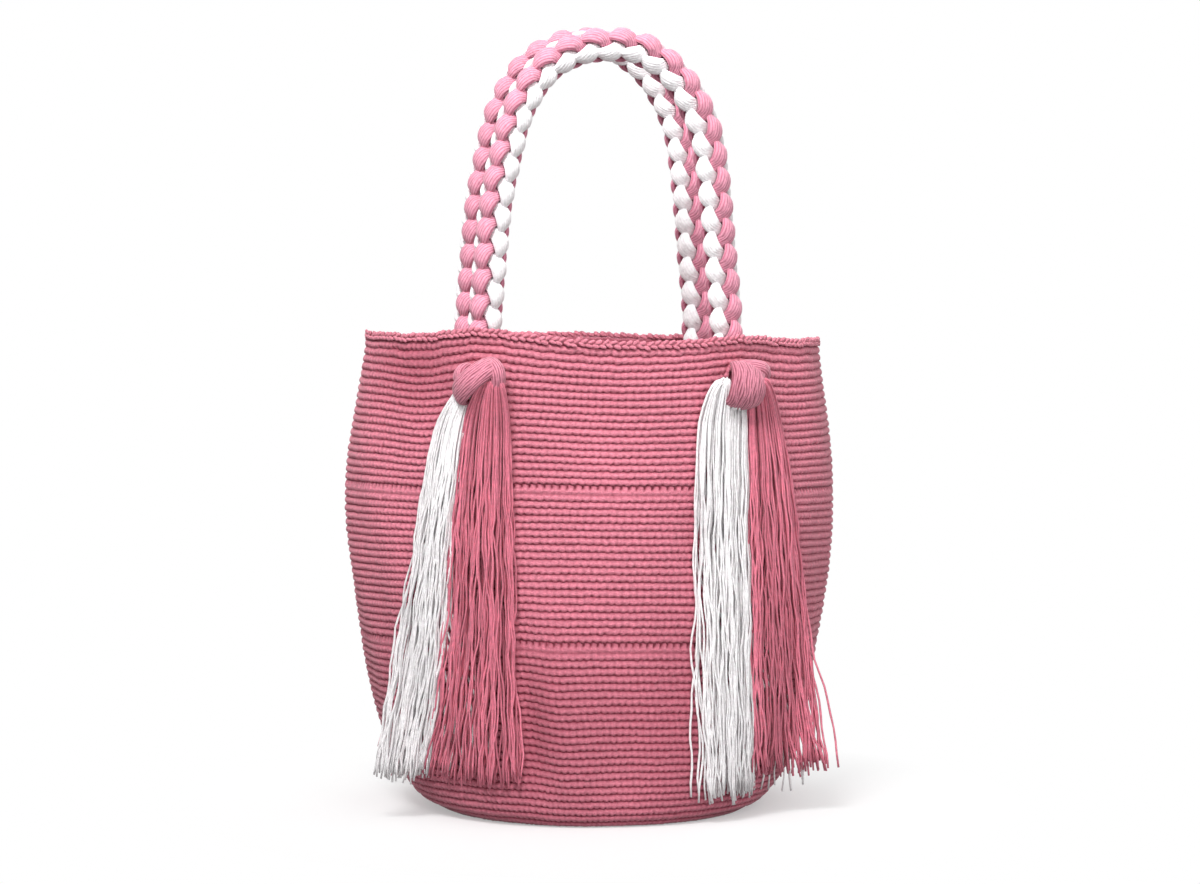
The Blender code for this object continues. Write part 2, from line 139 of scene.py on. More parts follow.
# Wraps of each knot in millimetres from the knot's centre, as (right, up, outward): the places that the band
# passes, the ways that its showing side faces, half width, half thickness and number of yarns
KNOT_WRAPS = {
    "left": (
        (((4, 6, 3), (7.5, 8, 9), (3, 5.5, 15), (-3.5, 0.5, 17), (-9, -5, 14.5), (-11.5, -9.5, 8),
          (-7, -9, 3)),
         ((0.4, 0.5, 0), (0.3, 0.7, 0.7), (0.0, 0.3, 1), (-0.1, 0.1, 1), (-0.4, -0.2, 0.9), (-0.9, -0.3, 0.4),
          (-0.8, -0.6, 0)),
         6.4, 3.6, 15),
        (((0, 8, 2), (5.5, 9.5, 8), (9.5, 6.5, 12), (11, 1, 12.5), (9.5, -4.5, 9.5), (5, -6, 5)),
         ((-0.3, 1, 0), (0.1, 0.9, 0.4), (0.5, 0.5, 0.8), (0.7, 0, 0.8), (0.7, -0.5, 0.4), (0.3, -1, 0)),
         4.8, 3.2, 11),
        (((-6, 6, 2.5), (-9.5, 6, 6), (-11.5, 2, 8.5), (-10.5, -3, 7), (-7, -6, 4)),
         ((-0.6, 1, 0), (-0.7, 0.7, 0.3), (-0.9, 0.2, 0.6), (-0.9, -0.4, 0.4), (-0.6, -1, 0)),
         4.4, 3.0, 10),
    ),
    "right": (
        (((-8, 5, 2), (-4, 6.5, 7), (2, 6.5, 10), (7.5, 5.5, 11.5), (10.5, 2.5, 10.5), (11, -2, 7)),
         ((-0.3, 1, 0.2), (-0.1, 1, 0.5), (0.2, 0.9, 0.7), (0.6, 0.6, 0.8), (0.9, 0.1, 0.7),
          (0.9, -0.4, 0.3)),
         4.6, 3.4, 11),
        (((-1, 6, 5), (-2.5, 5, 11), (-4, 0, 14.8), (-5, -7, 15.0), (-5, -12.5, 11.5), (-5, -15, 6),
          (-4.5, -14.5, 1)),
         ((0.2, 1, 0.1), (0.1, 0.7, 0.7), (0.0, 0.2, 1), (-0.1, -0.1, 1), (-0.1, -0.5, 0.8),
          (-0.1, -0.9, 0.3), (0, -1, -0.3)),
         11.4, 4.0, 21),
    ),
}
KNOT_STEPS = 30
NECK_STEPS = 16
NECK_YARNS = 22
MILLIMETRE = 0.001

UP = np.array((0.0, 0.0, 1.0))
WHITE = (1.0, 1.0, 1.0, 1.0)


def read_table(rows, share):
    """Values of a table at each share from 0 to 1, smoothly between its rows, one column each."""
    rows = np.asarray(rows, dtype=float)
    share = np.clip(np.asarray(share, dtype=float), rows[0, 0], rows[-1, 0])
    last = len(rows) - 1
    after = np.minimum(np.arange(last + 1) + 1, last)
    before = np.maximum(np.arange(last + 1) - 1, 0)
    slopes = (rows[after, 1:] - rows[before, 1:]) / (rows[after, :1] - rows[before, :1])
    index = np.clip(np.searchsorted(rows[:, 0], share, side="left") - 1, 0, last - 1)
    run = rows[index + 1, 0] - rows[index, 0]
    t = (share - rows[index, 0]) / run
    values = []
    for column in range(rows.shape[1] - 1):
        start = rows[index, column + 1]
        end = rows[index + 1, column + 1]
        slope_in = slopes[index, column] * run
        slope_out = slopes[index + 1, column] * run
        values.append((2 * t ** 3 - 3 * t ** 2 + 1) * start + (t ** 3 - 2 * t ** 2 + t) * slope_in
                      + (3 * t ** 2 - 2 * t ** 3) * end + (t ** 3 - t ** 2) * slope_out)
    return values


def smooth_step(value):
    """Ease from 0 to 1."""
    value = np.clip(value, 0.0, 1.0)
    return value * value * (3 - 2 * value)


def row_table():
    """Bottom height and pitch of each crochet row, and which rows are open."""
    pitches = ([ROW_PITCH] * PLAIN_ROWS_BELOW + [OPEN_ROW_HEIGHT] + [ROW_PITCH] * PLAIN_ROWS_BETWEEN
               + [OPEN_ROW_HEIGHT] + [ROW_PITCH] * PLAIN_ROWS_ABOVE)
    pitches = np.array(pitches)
    bottoms = np.concatenate(([0.0], np.cumsum(pitches)[:-1]))
    return bottoms, pitches, pitches > 1.1 * ROW_PITCH


ROW_BOTTOMS, ROW_PITCHES, ROW_IS_OPEN = row_table()
ROW_COUNT = len(ROW_PITCHES)
BODY_HEIGHT = float(ROW_PITCHES.sum())
EYELET_HEIGHT = BODY_HEIGHT - EYELET_DROP


def bell(value, centre, width):
    """Bell curve of height 1."""
    return np.exp(-((value - centre) / width) ** 2)


def row_wave(x, height, front):
    """How far the rows near the rim rise over the eyelets and dip between them."""
    pulled = smooth_step((height / BODY_HEIGHT - 0.55) / 0.3)
    rim = smooth_step((height / BODY_HEIGHT - 0.93) / 0.07)
    dips = -0.0042 * bell(x, -0.106, 0.020) - 0.0026 * bell(x, 0.004, 0.045) - 0.0026 * bell(x, 0.112, 0.020)
    arch = 0.0022 * bell(x, -0.071, 0.020) + 0.0022 * bell(x, 0.079, 0.020)
    under = smooth_step((height - EYELET_HEIGHT + 0.02) / 0.03)
    step = -0.0026 * smooth_step((x + 0.050) / 0.024) * bell(height, 0.055, 0.060)
    return front * (pulled * (dips * (1 - 0.55 * rim) + arch * under * (1 - 0.4 * rim)) + step)


def rim_sag(x, height, sine):
    """Rise and fall of the rim itself: the front is highest at its left, the back sinks at both ends."""
    rim = smooth_step((height / BODY_HEIGHT - 0.90) / 0.10)
    front = 0.0030 * bell(x, -0.078, 0.034) + 0.0012 * bell(x, 0.095, 0.030) - 0.0012 * bell(x, 0.020, 0.040)
    back = -0.0034 * (1 - bell(x, 0.002, 0.050))
    ripple = 0.00030 * np.sin(x * 410 + 1.0) + 0.00022 * np.sin(x * 730)
    return rim * (np.where(sine < 0, front, back) * np.abs(sine) ** 0.5 + ripple)


def soft_relief(angle, x, height, front):
    """Hollows and soft folds of the wall, inward positive: some all round, the rest where `front` is high."""
    turn = angle / (2 * math.pi)
    share = height / BODY_HEIGHT
    broad = (0.0011 * np.sin(2 * math.pi * (5 * turn + 0.6 * share + 0.15))
             + 0.0009 * np.sin(2 * math.pi * (8 * turn - 1.1 * share + 0.4))
             + 0.0006 * np.sin(2 * math.pi * (13 * turn + 1.9 * share)))
    hollows = ((-0.106, 0.262, 0.018, 0.042, 0.0062), (-0.071, 0.254, 0.015, 0.017, 0.0030),
               (0.079, 0.250, 0.016, 0.018, 0.0030), (0.055, 0.158, 0.013, 0.026, 0.0050),
               (0.045, 0.070, 0.020, 0.040, 0.0040), (-0.004, 0.240, 0.016, 0.030, 0.0030),
               (0.113, 0.235, 0.018, 0.050, 0.0040), (0.022, 0.150, 0.028, 0.050, -0.0022),
               (-0.026, 0.070, 0.012, 0.060, -0.0032), (-0.045, 0.060, 0.009, 0.055, 0.0052),
               (0.008, 0.045, 0.014, 0.040, 0.0026))
    local = np.zeros(np.broadcast(x, height).shape)
    for centre, level, wide, high, depth in hollows:
        slanted = x - centre + 0.12 * (height - level)
        local = local + depth * np.exp(-(slanted / wide) ** 2 - ((height - level) / high) ** 2)
    return (broad + front * local) * smooth_step(share / 0.12)


def wall(angle, height, inset=0.0, waved=True):
    """Points on the oval wall, `inset` inside its outer crests."""
    angle = np.asarray(angle, dtype=float)
    height = np.asarray(height, dtype=float)
    half_width, half_depth = read_table(STATIONS, height / BODY_HEIGHT)
    cosine, sine = np.cos(angle), np.sin(angle)
    swell = (np.abs(cosine) ** SQUARENESS + np.abs(sine) ** SQUARENESS) ** (-1 / SQUARENESS)
    spread = (angle % (2 * math.pi) - FOLD_ANGLE) / FOLD_HALF_ANGLE
    upper_end = smooth_step((0.75 * BODY_HEIGHT - height) / (0.35 * BODY_HEIGHT))
    lower_end = smooth_step(height / (0.15 * BODY_HEIGHT))
    offset = -FOLD_DEPTH * np.exp(-spread * spread) * upper_end * lower_end - inset
    x = (half_width + offset) * cosine * swell
    y = (half_depth + offset) * sine * swell
    if waved:
        dent = soft_relief(angle, x, height, np.abs(sine) ** 0.5)
        x = x - dent * cosine * swell
        y = y - dent * sine * swell
    share = height / BODY_HEIGHT
    dip = SIDE_DIP * cosine * cosine * 4 * share * (1 - share)
    settled = smooth_step(height / (0.2 * BODY_HEIGHT))
    z = height - (dip + ROW_LEAN * x) * settled
    if waved:
        z = z + row_wave(x, height, np.abs(sine) ** 0.5) + rim_sag(x, height, sine)
    return stacked(x, y, z)


def wall_corner(angle, level):
    """Point on the wall's crests at this angle where it passes this level."""
    height = level
    for _ in range(3):
        point = wall(angle, height, waved=False)
        height = height + level - point[2]
    return np.array((point[0], point[1], level))


def wall_seat(x, level, side):
    """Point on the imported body's faceted outside at this x, and its outward normal."""
    step = 2 * math.pi / SECTORS
    corners = [wall_corner(side * step * index, level) for index in range(SECTORS // 2 + 1)]
    for right, left in zip(corners, corners[1:]):
        if left[0] <= x <= right[0]:
            share = (x - left[0]) / (right[0] - left[0])
            along = (right - left)[:2]
            along = along / np.linalg.norm(along)
            normal = np.array((along[1], -along[0], 0.0)) * -side
            return left + (right - left) * share, normal
    return None, None


def smooth_waves(rng, count, places, waves, strength):
    """One soft random curve for each of `count` lines, read at the given places."""
    places = np.asarray(places, dtype=float)
    total = np.zeros((count,) + places.shape)
    for wave in waves:
        phase = rng.uniform(0, 2 * math.pi, (count,) + (1,) * places.ndim)
        stretch = rng.uniform(0.8, 1.25, (count,) + (1,) * places.ndim)
        total += np.sin(places * 2 * math.pi * wave * stretch + phase)
    return total * strength / len(waves)


def make_object(name, material, points, faces, uv=None, shade=None):
    """Smooth mesh object from arrays; uv and shade are one entry for each point."""
    points = np.ascontiguousarray(points, dtype=np.float32).reshape(-1, 3)
    faces = np.ascontiguousarray(faces, dtype=np.int32)
    corners = faces.shape[1]
    mesh = bpy.data.meshes.new(name)
    mesh.vertices.add(len(points))
    mesh.vertices.foreach_set("co", points.ravel())
    mesh.loops.add(faces.size)
    mesh.loops.foreach_set("vertex_index", faces.ravel())
    mesh.polygons.add(len(faces))
    mesh.polygons.foreach_set("loop_start", np.arange(0, faces.size, corners, dtype=np.int32))
    mesh.update(calc_edges=True)
    if uv is not None:
        layer = mesh.uv_layers.new(name="yarn")
        flat = np.asarray(uv, dtype=np.float32).reshape(-1, 2)[faces.ravel()]
        layer.data.foreach_set("uv", np.ascontiguousarray(flat).ravel())
    if shade is not None:
        layer = mesh.attributes.new("shade", "FLOAT", "POINT")
        layer.data.foreach_set("value", np.ascontiguousarray(shade, dtype=np.float32).ravel())
    mesh.shade_smooth()
    mesh.validate()
    mesh.materials.append(material)
    made = bpy.data.objects.new(name, mesh)
    bpy.context.scene.collection.objects.link(made)
    return made


def grid_faces(rings, columns):
    """Quads between closed rings of points, counter-clockwise seen along the rings' outward side."""
    ring = np.arange(rings - 1)[:, None]
    column = np.arange(columns)[None, :]
    after = (column + 1) % columns
    low = ring * columns
    quads = np.stack((low + column, low + after, low + columns + after, low + columns + column), axis=-1)
    return quads.reshape(-1, 4)


def join_parts(parts):
    """One set of points, faces, uv and shade from several."""
    points, faces, uvs, shades = [], [], [], []
    start = 0
    for part_points, part_faces, part_uv, part_shade in parts:
        part_points = part_points.reshape(-1, 3)
        points.append(part_points)
        faces.append(part_faces + start)
        uvs.append(part_uv.reshape(-1, 2))
        shades.append(part_shade.reshape(-1))
        start += len(part_points)
    return np.concatenate(points), np.concatenate(faces), np.concatenate(uvs), np.concatenate(shades)


def unit(vectors):
    """Vectors scaled to length 1."""
    return vectors / np.maximum(np.linalg.norm(vectors, axis=-1, keepdims=True), 1e-12)


def stacked(*arrays):
    """Arrays brought to one shape and set side by side along a new last axis."""
    return np.stack(np.broadcast_arrays(*arrays), axis=-1)


def path_lengths(points):
    """Distance along each path at each of its points."""
    steps = np.linalg.norm(np.diff(points, axis=-2), axis=-1)
    return np.concatenate((np.zeros(steps.shape[:-1] + (1,)), np.cumsum(steps, axis=-1)), axis=-1)


# Materials


class Nodes:
    """Short way to build the node tree of a material or of the world."""

    def __init__(self, owner, shader="Principled BSDF"):
        owner.use_nodes = True
        self.owner = owner
        self.tree = owner.node_tree
        self.shader = self.tree.nodes[shader]

    def add(self, kind, settings=None, inputs=None):
        node = self.tree.nodes.new(kind)
        for key, value in (settings or {}).items():
            setattr(node, key, value)
        for key, value in (inputs or {}).items():
            if isinstance(value, bpy.types.NodeSocket):
                self.tree.links.new(value, node.inputs[key])
            else:
                node.inputs[key].default_value = value
        return node

    def math(self, operation, first, second):
        return self.add("ShaderNodeMath", {"operation": operation}, {0: first, 1: second}).outputs[0]

    def ramp(self, value, low, high, to_low=0.0, to_high=1.0):
        inputs = {"Value": value, "From Min": low, "From Max": high, "To Min": to_low, "To Max": to_high}
        return self.add("ShaderNodeMapRange", {}, inputs).outputs["Result"]

    def mix(self, factor, first, second):
        node = self.add("ShaderNodeMix", {"data_type": "RGBA"})
        for socket, value in ((node.inputs[0], factor), (node.inputs[6], first), (node.inputs[7], second)):
            if isinstance(value, bpy.types.NodeSocket):
                self.tree.links.new(value, socket)
            elif isinstance(value, tuple):
                socket.default_value = (*value, 1.0)
            else:
                socket.default_value = value
        return node.outputs[2]

    def noise(self, vector, scale, detail, roughness):
        inputs = {"Vector": vector, "Scale": scale, "Detail": detail, "Roughness": roughness}
        return self.add("ShaderNodeTexNoise", {}, inputs).outputs["Fac"]

    def link(self, output, socket):
        self.tree.links.new(output, self.shader.inputs[socket])

    def seen_directly(self):
        """1 for what the camera sees, also in a reflection, and 0 for the light that falls on the bag."""
        path = self.add("ShaderNodeLightPath")
        return self.math("MAXIMUM", path.outputs["Is Camera Ray"], path.outputs["Is Glossy Ray"])

    def show_mix(self, share, first, second, output):
        """Send a mix of two shaders to the tree's output."""
        mixed = self.add("ShaderNodeMixShader", {}, {0: share, 1: first.outputs[0], 2: second.outputs[0]})
        self.tree.links.new(mixed.outputs[0], self.tree.nodes[output].inputs["Surface"])

    def yarn_inputs(self):
        """The mesh's shade, the place on the object and the place along the yarn."""
        shade = self.add("ShaderNodeAttribute", {"attribute_name": "shade"}).outputs["Fac"]
        place = self.add("ShaderNodeTexCoord").outputs["Object"]
        uv = self.add("ShaderNodeUVMap", {"uv_map": "yarn"}).outputs["UV"]
        return shade, place, uv

    def dress(self, base, speckle, dye, grain, bump, rough, sheen, specular):
        """Give the shader its unevenly dyed colour, fine bump, roughness and sheen."""
        dyed = self.math("MULTIPLY", speckle, dye)
        scaled = self.add("ShaderNodeVectorMath", {"operation": "SCALE"}, {0: base, "Scale": dyed})
        self.link(scaled.outputs["Vector"], "Base Color")
        strength, distance = bump
        inputs = {"Strength": strength, "Distance": distance, "Height": grain}
        self.link(self.add("ShaderNodeBump", {}, inputs).outputs["Normal"], "Normal")
        self.link(rough, "Roughness")
        self.shader.inputs["Sheen Weight"].default_value = sheen
        self.shader.inputs["Sheen Roughness"].default_value = 0.5
        self.shader.inputs["Specular IOR Level"].default_value = specular


def linear(red, green, blue):
    """Linear colour of an 8-bit display colour."""
    return tuple(((v / 255 + 0.055) / 1.055) ** 2.4 for v in (red, green, blue))


def yarn_material(name, crest, groove, streak=0.5, sheen=0.25):
    """Soft yarn: the mesh's shade mixes groove and crest colours, painting shade between yarns on strands and
    knots and setting a random tone on loose yarns; lengthwise plies, fine fuzz and an uneven dye.
    """
    nodes = Nodes(bpy.data.materials.new(name))
    shade, place, uv = nodes.yarn_inputs()
    plies = nodes.add("ShaderNodeMapping", {}, {"Vector": uv, "Scale": (1.0, 0.16, 1.0)}).outputs["Vector"]
    ply_noise = nodes.noise(plies, 1.7, 3.0, 0.6)
    fuzz_noise = nodes.noise(place, 1500.0, 2.0, 0.7)
    bright = tuple(min(1.0, value * 1.16 + 0.02) for value in crest)
    dark = tuple(value * 0.72 for value in crest)
    streaks = nodes.mix(nodes.ramp(ply_noise, 0.36, 0.64), dark, bright)
    # Groove colour: painted shade between yarns on strands and knots, the dark end of a random tone on loose
    # tassel yarns.
    base = nodes.mix(nodes.math("MULTIPLY", shade, streak), nodes.mix(shade, groove, crest), streaks)
    speckle = nodes.ramp(nodes.noise(place, 420.0, 2.0, 0.6), 0.3, 0.7, 0.86, 1.1)
    dye = nodes.ramp(nodes.noise(place, 22.0, 2.0, 0.5), 0.3, 0.7, 0.96, 1.04)
    grain = nodes.math("ADD", nodes.math("MULTIPLY", ply_noise, 0.6), nodes.math("MULTIPLY", fuzz_noise, 0.5))
    rough = nodes.ramp(fuzz_noise, 0.3, 0.7, 0.82, 0.95)
    nodes.dress(base, speckle, dye, grain, (0.75, 0.0005), rough, sheen, 0.25)
    return nodes.owner


def crochet_material():
    """Tight single crochet in dusty pink: mottled rope rows over stitch grooves darkened with painted shade.
    """
    nodes = Nodes(bpy.data.materials.new("crochet_rose_yarn"))
    shade, place, uv = nodes.yarn_inputs()
    slant = nodes.add("ShaderNodeMapping", {}, {
        "Vector": uv, "Rotation": (0.0, 0.0, math.radians(28.0)), "Scale": (2.2, 5.0, 1.0),
    }).outputs["Vector"]
    ply_noise = nodes.noise(slant, 1.0, 3.0, 0.65)
    fuzz_noise = nodes.noise(place, 1300.0, 2.0, 0.7)
    mottle = nodes.noise(place, 520.0, 3.0, 0.65)
    # The shade attribute mixes from a painted shade colour in the grooves to the yarn's crest colour.
    base = nodes.mix(nodes.ramp(shade, 0.05, 0.85), linear(142, 60, 76), linear(222, 132, 150))
    twist = nodes.mix(nodes.ramp(ply_noise, 0.34, 0.66), linear(196, 102, 121), linear(235, 154, 171))
    base = nodes.mix(nodes.math("MULTIPLY", shade, 0.5), base, twist)
    speckle = nodes.ramp(mottle, 0.3, 0.7, 0.80, 1.16)
    dye = nodes.ramp(nodes.noise(place, 16.0, 2.0, 0.5), 0.3, 0.7, 0.95, 1.04)
    grain = nodes.math("ADD", nodes.math("MULTIPLY", ply_noise, 0.7), nodes.math("MULTIPLY", mottle, 0.7))
    grain = nodes.math("ADD", grain, nodes.math("MULTIPLY", fuzz_noise, 0.35))
    rough = nodes.ramp(fuzz_noise, 0.3, 0.7, 0.84, 0.96)
    nodes.dress(base, speckle, dye, grain, (0.8, 0.0007), rough, 0.2, 0.2)
    return nodes.owner


def floor_material():
    """White floor that keeps the bag's contact shadow."""
    nodes = Nodes(bpy.data.materials.new("white_floor"))
    nodes.shader.inputs["Roughness"].default_value = 0.9
    glow = nodes.add("ShaderNodeEmission", {}, {"Color": WHITE, "Strength": 1.0})
    seen = nodes.seen_directly()
    nodes.link(nodes.mix(seen, (0.36, 0.36, 0.36), (0.96, 0.96, 0.96)), "Base Color")
    place = nodes.add("ShaderNodeTexCoord").outputs["Object"]
    away = nodes.add("ShaderNodeVectorMath", {"operation": "LENGTH"}, {0: place}).outputs["Value"]
    share = nodes.math("MULTIPLY", seen, nodes.ramp(away, 0.10, 0.26, 0.35, 1.0))
    nodes.show_mix(share, nodes.shader, glow, "Material Output")
    return nodes.owner


# Camera, light and floor


def make_camera():
    camera_data = bpy.data.cameras.new("camera")
    camera_data.sensor_width = 36.0
    camera_data.lens = 100.5
    camera_data.clip_start = 0.1
    camera_data.clip_end = 50.0
    camera = bpy.data.objects.new("camera", camera_data)
    camera.location = (-0.2037, -1.9890, 0.33)
    camera.rotation_euler = (math.radians(86.72), 0.0, math.radians(-6.0))
    bpy.context.scene.collection.objects.link(camera)
    bpy.context.scene.camera = camera


def make_lamp(name, place, aim, size, power, spread=180.0):
    """Soft area lamp that looks at a point."""
    lamp_data = bpy.data.lights.new(name, "AREA")
    lamp_data.shape = "DISK"
    lamp_data.size = size
    lamp_data.energy = power
    lamp_data.spread = math.radians(spread)
    lamp = bpy.data.objects.new(name, lamp_data)
    place = np.array(place, dtype=float)
    forward = unit(np.array(aim, dtype=float) - place)
    yaw = math.atan2(forward[0], -forward[1])
    pitch = math.acos(-forward[2])
    lamp.location = place
    lamp.rotation_euler = (pitch, 0.0, yaw + math.pi)
    bpy.context.scene.collection.objects.link(lamp)


def make_world():
    """White world: soft fill for the object, plain white for the camera."""
    world = bpy.data.worlds.new("world")
    bpy.context.scene.world = world
    nodes = Nodes(world, "Background")
    nodes.shader.inputs["Color"].default_value = WHITE
    nodes.shader.inputs["Strength"].default_value = 0.64
    seen = nodes.add("ShaderNodeBackground", {}, {"Color": WHITE, "Strength": 1.0})
    nodes.show_mix(nodes.seen_directly(), nodes.shader, seen, "World Output")


def make_floor():
    """Wide pale floor with a soft dish, so that it isn't a bare plane."""
    rings, columns = 14, 64
    radius = np.linspace(0.0, 1.0, rings)[:, None] ** 1.5 * 6.0
    angle = np.arange(columns)[None, :] * 2 * math.pi / columns
    rise = np.maximum(radius - 3.0, 0.0) ** 2 * 0.02
    points = stacked(radius * np.cos(angle), radius * np.sin(angle), rise - 0.0002)
    points[0] = (0.0, 0.0, -0.0002)
    faces = grid_faces(rings, columns)[:, ::-1]
    floor = make_object("floor", floor_material(), points, faces)


# Crochet body


def stitch_relief(rows, shares, stitch):
    """Depth below the rope crests, height shift and painted light, ring by ring: lit crests, painted shade in
    the stitch gaps and open-row holes.

    rows and shares have one entry a ring; stitch is the place around the wall in stitches.
    """
    rng = np.random.RandomState(11)
    slip = np.cumsum(rng.choice((0, 1, 1, 2), ROW_COUNT)) / COLUMNS_PER_STITCH
    place = (stitch[None, :] + slip[rows][:, None]) % 1.0
    gap = np.maximum(0.0, 1 - 3 * np.minimum(place, 1 - place))
    is_open = ROW_IS_OPEN[rows][:, None]
    share = shares[:, None]
    crest = np.sin(math.pi * np.clip(share, 0, 1) ** 0.85) ** 0.6
    uneven = smooth_waves(rng, ROW_COUNT, stitch / STITCHES, (7, 19, 41), 1.0)[rows]
    jitter = rng.normal(0.0, 1.0, (ROW_COUNT, len(stitch)))[rows]
    low = np.clip(1 - share / 0.35, 0, 1) + np.clip((share - 0.8) / 0.2, 0, 1) * 0.4
    depth = ROPE_DEPTH * (1 - crest) * (1 + 0.12 * uneven)
    depth = depth + gap * (0.00020 + 0.0010 * low) + jitter * 0.00013
    shift = (0.00045 * gap * low + 0.00018 * uneven + 0.00014 * jitter) * np.ones_like(share)
    # Painted light on the rope crests and painted shade in the gaps between stitches.
    light = crest * (1 - 0.25 * gap) - 0.35 * gap * low + 0.08 * jitter * low
    post = np.abs(2 * place - 1)
    hole = np.clip(1 - 3 * np.abs(place - 1 / 3), 0, 1) * np.exp(-((share - 0.74) / 0.19) ** 2)
    open_crest = np.sin(math.pi * np.clip(share, 0, 1) ** 0.7) ** 0.8
    open_depth = 0.0013 * (1 - open_crest) + 0.0026 * hole + 0.00045 * (1 - post) * open_crest
    # Painted shade in the open rows' holes, lighter at the posts between them.
    open_light = np.maximum(open_crest, 0.45) * (0.70 + 0.30 * post) - 0.9 * hole
    depth = np.where(is_open, open_depth + jitter * 0.0001, depth)
    light = np.where(is_open, open_light, light)
    shift = np.where(is_open, 0.0, shift)
    return depth, shift, np.clip(light, 0.0, 1.0)


def painted_soft_shade(points):
    """Painted soft shade near the base, more to the right, in the left hollow and along the front fold."""
    x, y, z = points[..., 0], points[..., 1], points[..., 2]
    front = smooth_step(-y / 0.05)
    hollow = 0.60 * front * bell(x, -0.108, 0.036) * bell(z, 0.262, 0.034)
    fold = 0.20 * front * bell(x - 0.12 * (z - 0.06), -0.040, 0.012) * bell(z, 0.060, 0.055)
    low = smooth_step((0.22 - z) / 0.19)
    right = 0.12 * front * smooth_step(x / 0.05) * low
    return 1 - 0.34 * low - 0.10 * bell(z, 0.060, 0.040) - right - hollow - fold


def near_eyelet(points, eyelets):
    """How far each point lies from the nearest eyelet's axis."""
    nearest = np.full(points.shape[:-1], 1.0)
    for seat, normal in eyelets:
        offset = points - seat
        out = (offset * normal).sum(axis=-1)
        across = np.linalg.norm(offset - out[..., None] * normal, axis=-1)
        nearest = np.minimum(nearest, np.where(np.abs(out) < 0.03, across, 1.0))
    return nearest


def make_walls(material, eyelets):
    """Outer wall in three pieces, with every row and stitch as relief."""
    columns = STITCHES * COLUMNS_PER_STITCH
    stitch = np.arange(columns) / COLUMNS_PER_STITCH
    angle = stitch / STITCHES * 2 * math.pi
    rows = np.repeat(np.arange(ROW_COUNT), len(RING_SHARES))
    shares = np.tile(np.array(RING_SHARES), ROW_COUNT)
    heights = ROW_BOTTOMS[rows] + shares * ROW_PITCHES[rows]
    depth, shift, light = stitch_relief(rows, shares, stitch)
    ring_heights = heights[:, None] + shift
    ring_heights[0] = np.maximum(ring_heights[0], 0.0)
    points = wall(angle[None, :], ring_heights, depth)
    points[..., 2] = np.maximum(points[..., 2], 0.0003)
    distance = near_eyelet(points, eyelets)
    # Painted shade darkens the rows round each eyelet, and more painted shade lies near the base, in the left
    # hollow and along the front fold.
    light = light * (0.45 + 0.55 * smooth_step((distance - EYELET_RADIUS) / 0.005)) * painted_soft_shade(points)
    uv = stacked(stitch[None, :], (rows + shares)[:, None])
    first_between = (PLAIN_ROWS_BELOW + 1) * len(RING_SHARES)
    first_above = (PLAIN_ROWS_BELOW + PLAIN_ROWS_BETWEEN + 2) * len(RING_SHARES)
    cuts = (("crochet_rows_lower", 0, first_between), ("crochet_rows_middle", first_between, first_above),
            ("crochet_rows_upper", first_above, len(heights) - 1))
    walls = []
    for name, start, end in cuts:
        part = slice(start, end + 1)
        faces = grid_faces(end + 1 - start, columns)
        centre = distance[part].reshape(-1)[faces].mean(axis=1)
        faces = faces[centre > EYELET_RADIUS * 0.98]
        walls.append(make_object(name, material, points[part], faces, uv[part], light[part]))
    return walls, points[-1]


def rim_loops(number, drop, slant, face, lift, out):
    """One round of slanted loops at the rim, outside where face is 1 and inside where it is -1."""
    count = STITCHES
    loose = np.random.RandomState(70 + number)
    around = (np.arange(count) + 0.5 * (number % 2) + loose.normal(0, 0.06, count)) / count * 2 * math.pi
    inset = np.full(count, -out if face > 0 else WALL) + loose.normal(0, 0.00008, count)
    base = wall(around, np.full(count, BODY_HEIGHT - 0.0012), inset)
    base = base + UP * (drop + 0.0006 + loose.normal(0, 0.00012, count))[:, None]
    top = np.full(count, BODY_HEIGHT)
    ahead = unit(wall(around + 0.01, top) - wall(around - 0.01, top))
    outward = unit(np.cross(ahead, UP)) * face
    lean = (slant + loose.normal(0, 0.10, count))[:, None]
    plump = (1 + loose.normal(0, 0.09, count))[:, None, None, None]
    long_way = unit(ahead * np.cos(lean) + UP * np.sin(lean))
    short_way = np.cross(outward, long_way)
    sides, steps = 5, 6
    along = np.linspace(-1, 1, steps)
    girth = np.sqrt(np.maximum(1 - along ** 2, 0.0)) ** 0.8
    turn = np.arange(sides) / sides * 2 * math.pi
    wide = (RIM_LOOP_HALF_WIDTH * girth[:, None] * np.cos(turn))[None, :, :, None]
    thick = (lift * girth[:, None] * np.sin(turn))[None, :, :, None]
    shape = (base[:, None, None, :]
             + long_way[:, None, None, :] * (RIM_LOOP_HALF_LENGTH * along)[None, :, None, None]
             + plump * short_way[:, None, None, :] * wide
             + plump * outward[:, None, None, :] * thick)
    single = grid_faces(steps, sides)
    faces = (single[None, :, :] + (np.arange(count) * steps * sides)[:, None, None]).reshape(-1, 4)
    if face < 0:
        faces = faces[:, ::-1]
    uv = stacked(np.arange(count)[:, None, None] + turn[None, None, :] / 6, ROW_COUNT + along[None, :, None])
    # Painted shade towards each loop's ends, where it tucks under its neighbours.
    light = np.broadcast_to((0.50 + 0.44 * girth)[None, :, None], shape.shape[:3])
    return shape, faces, uv, light.copy()


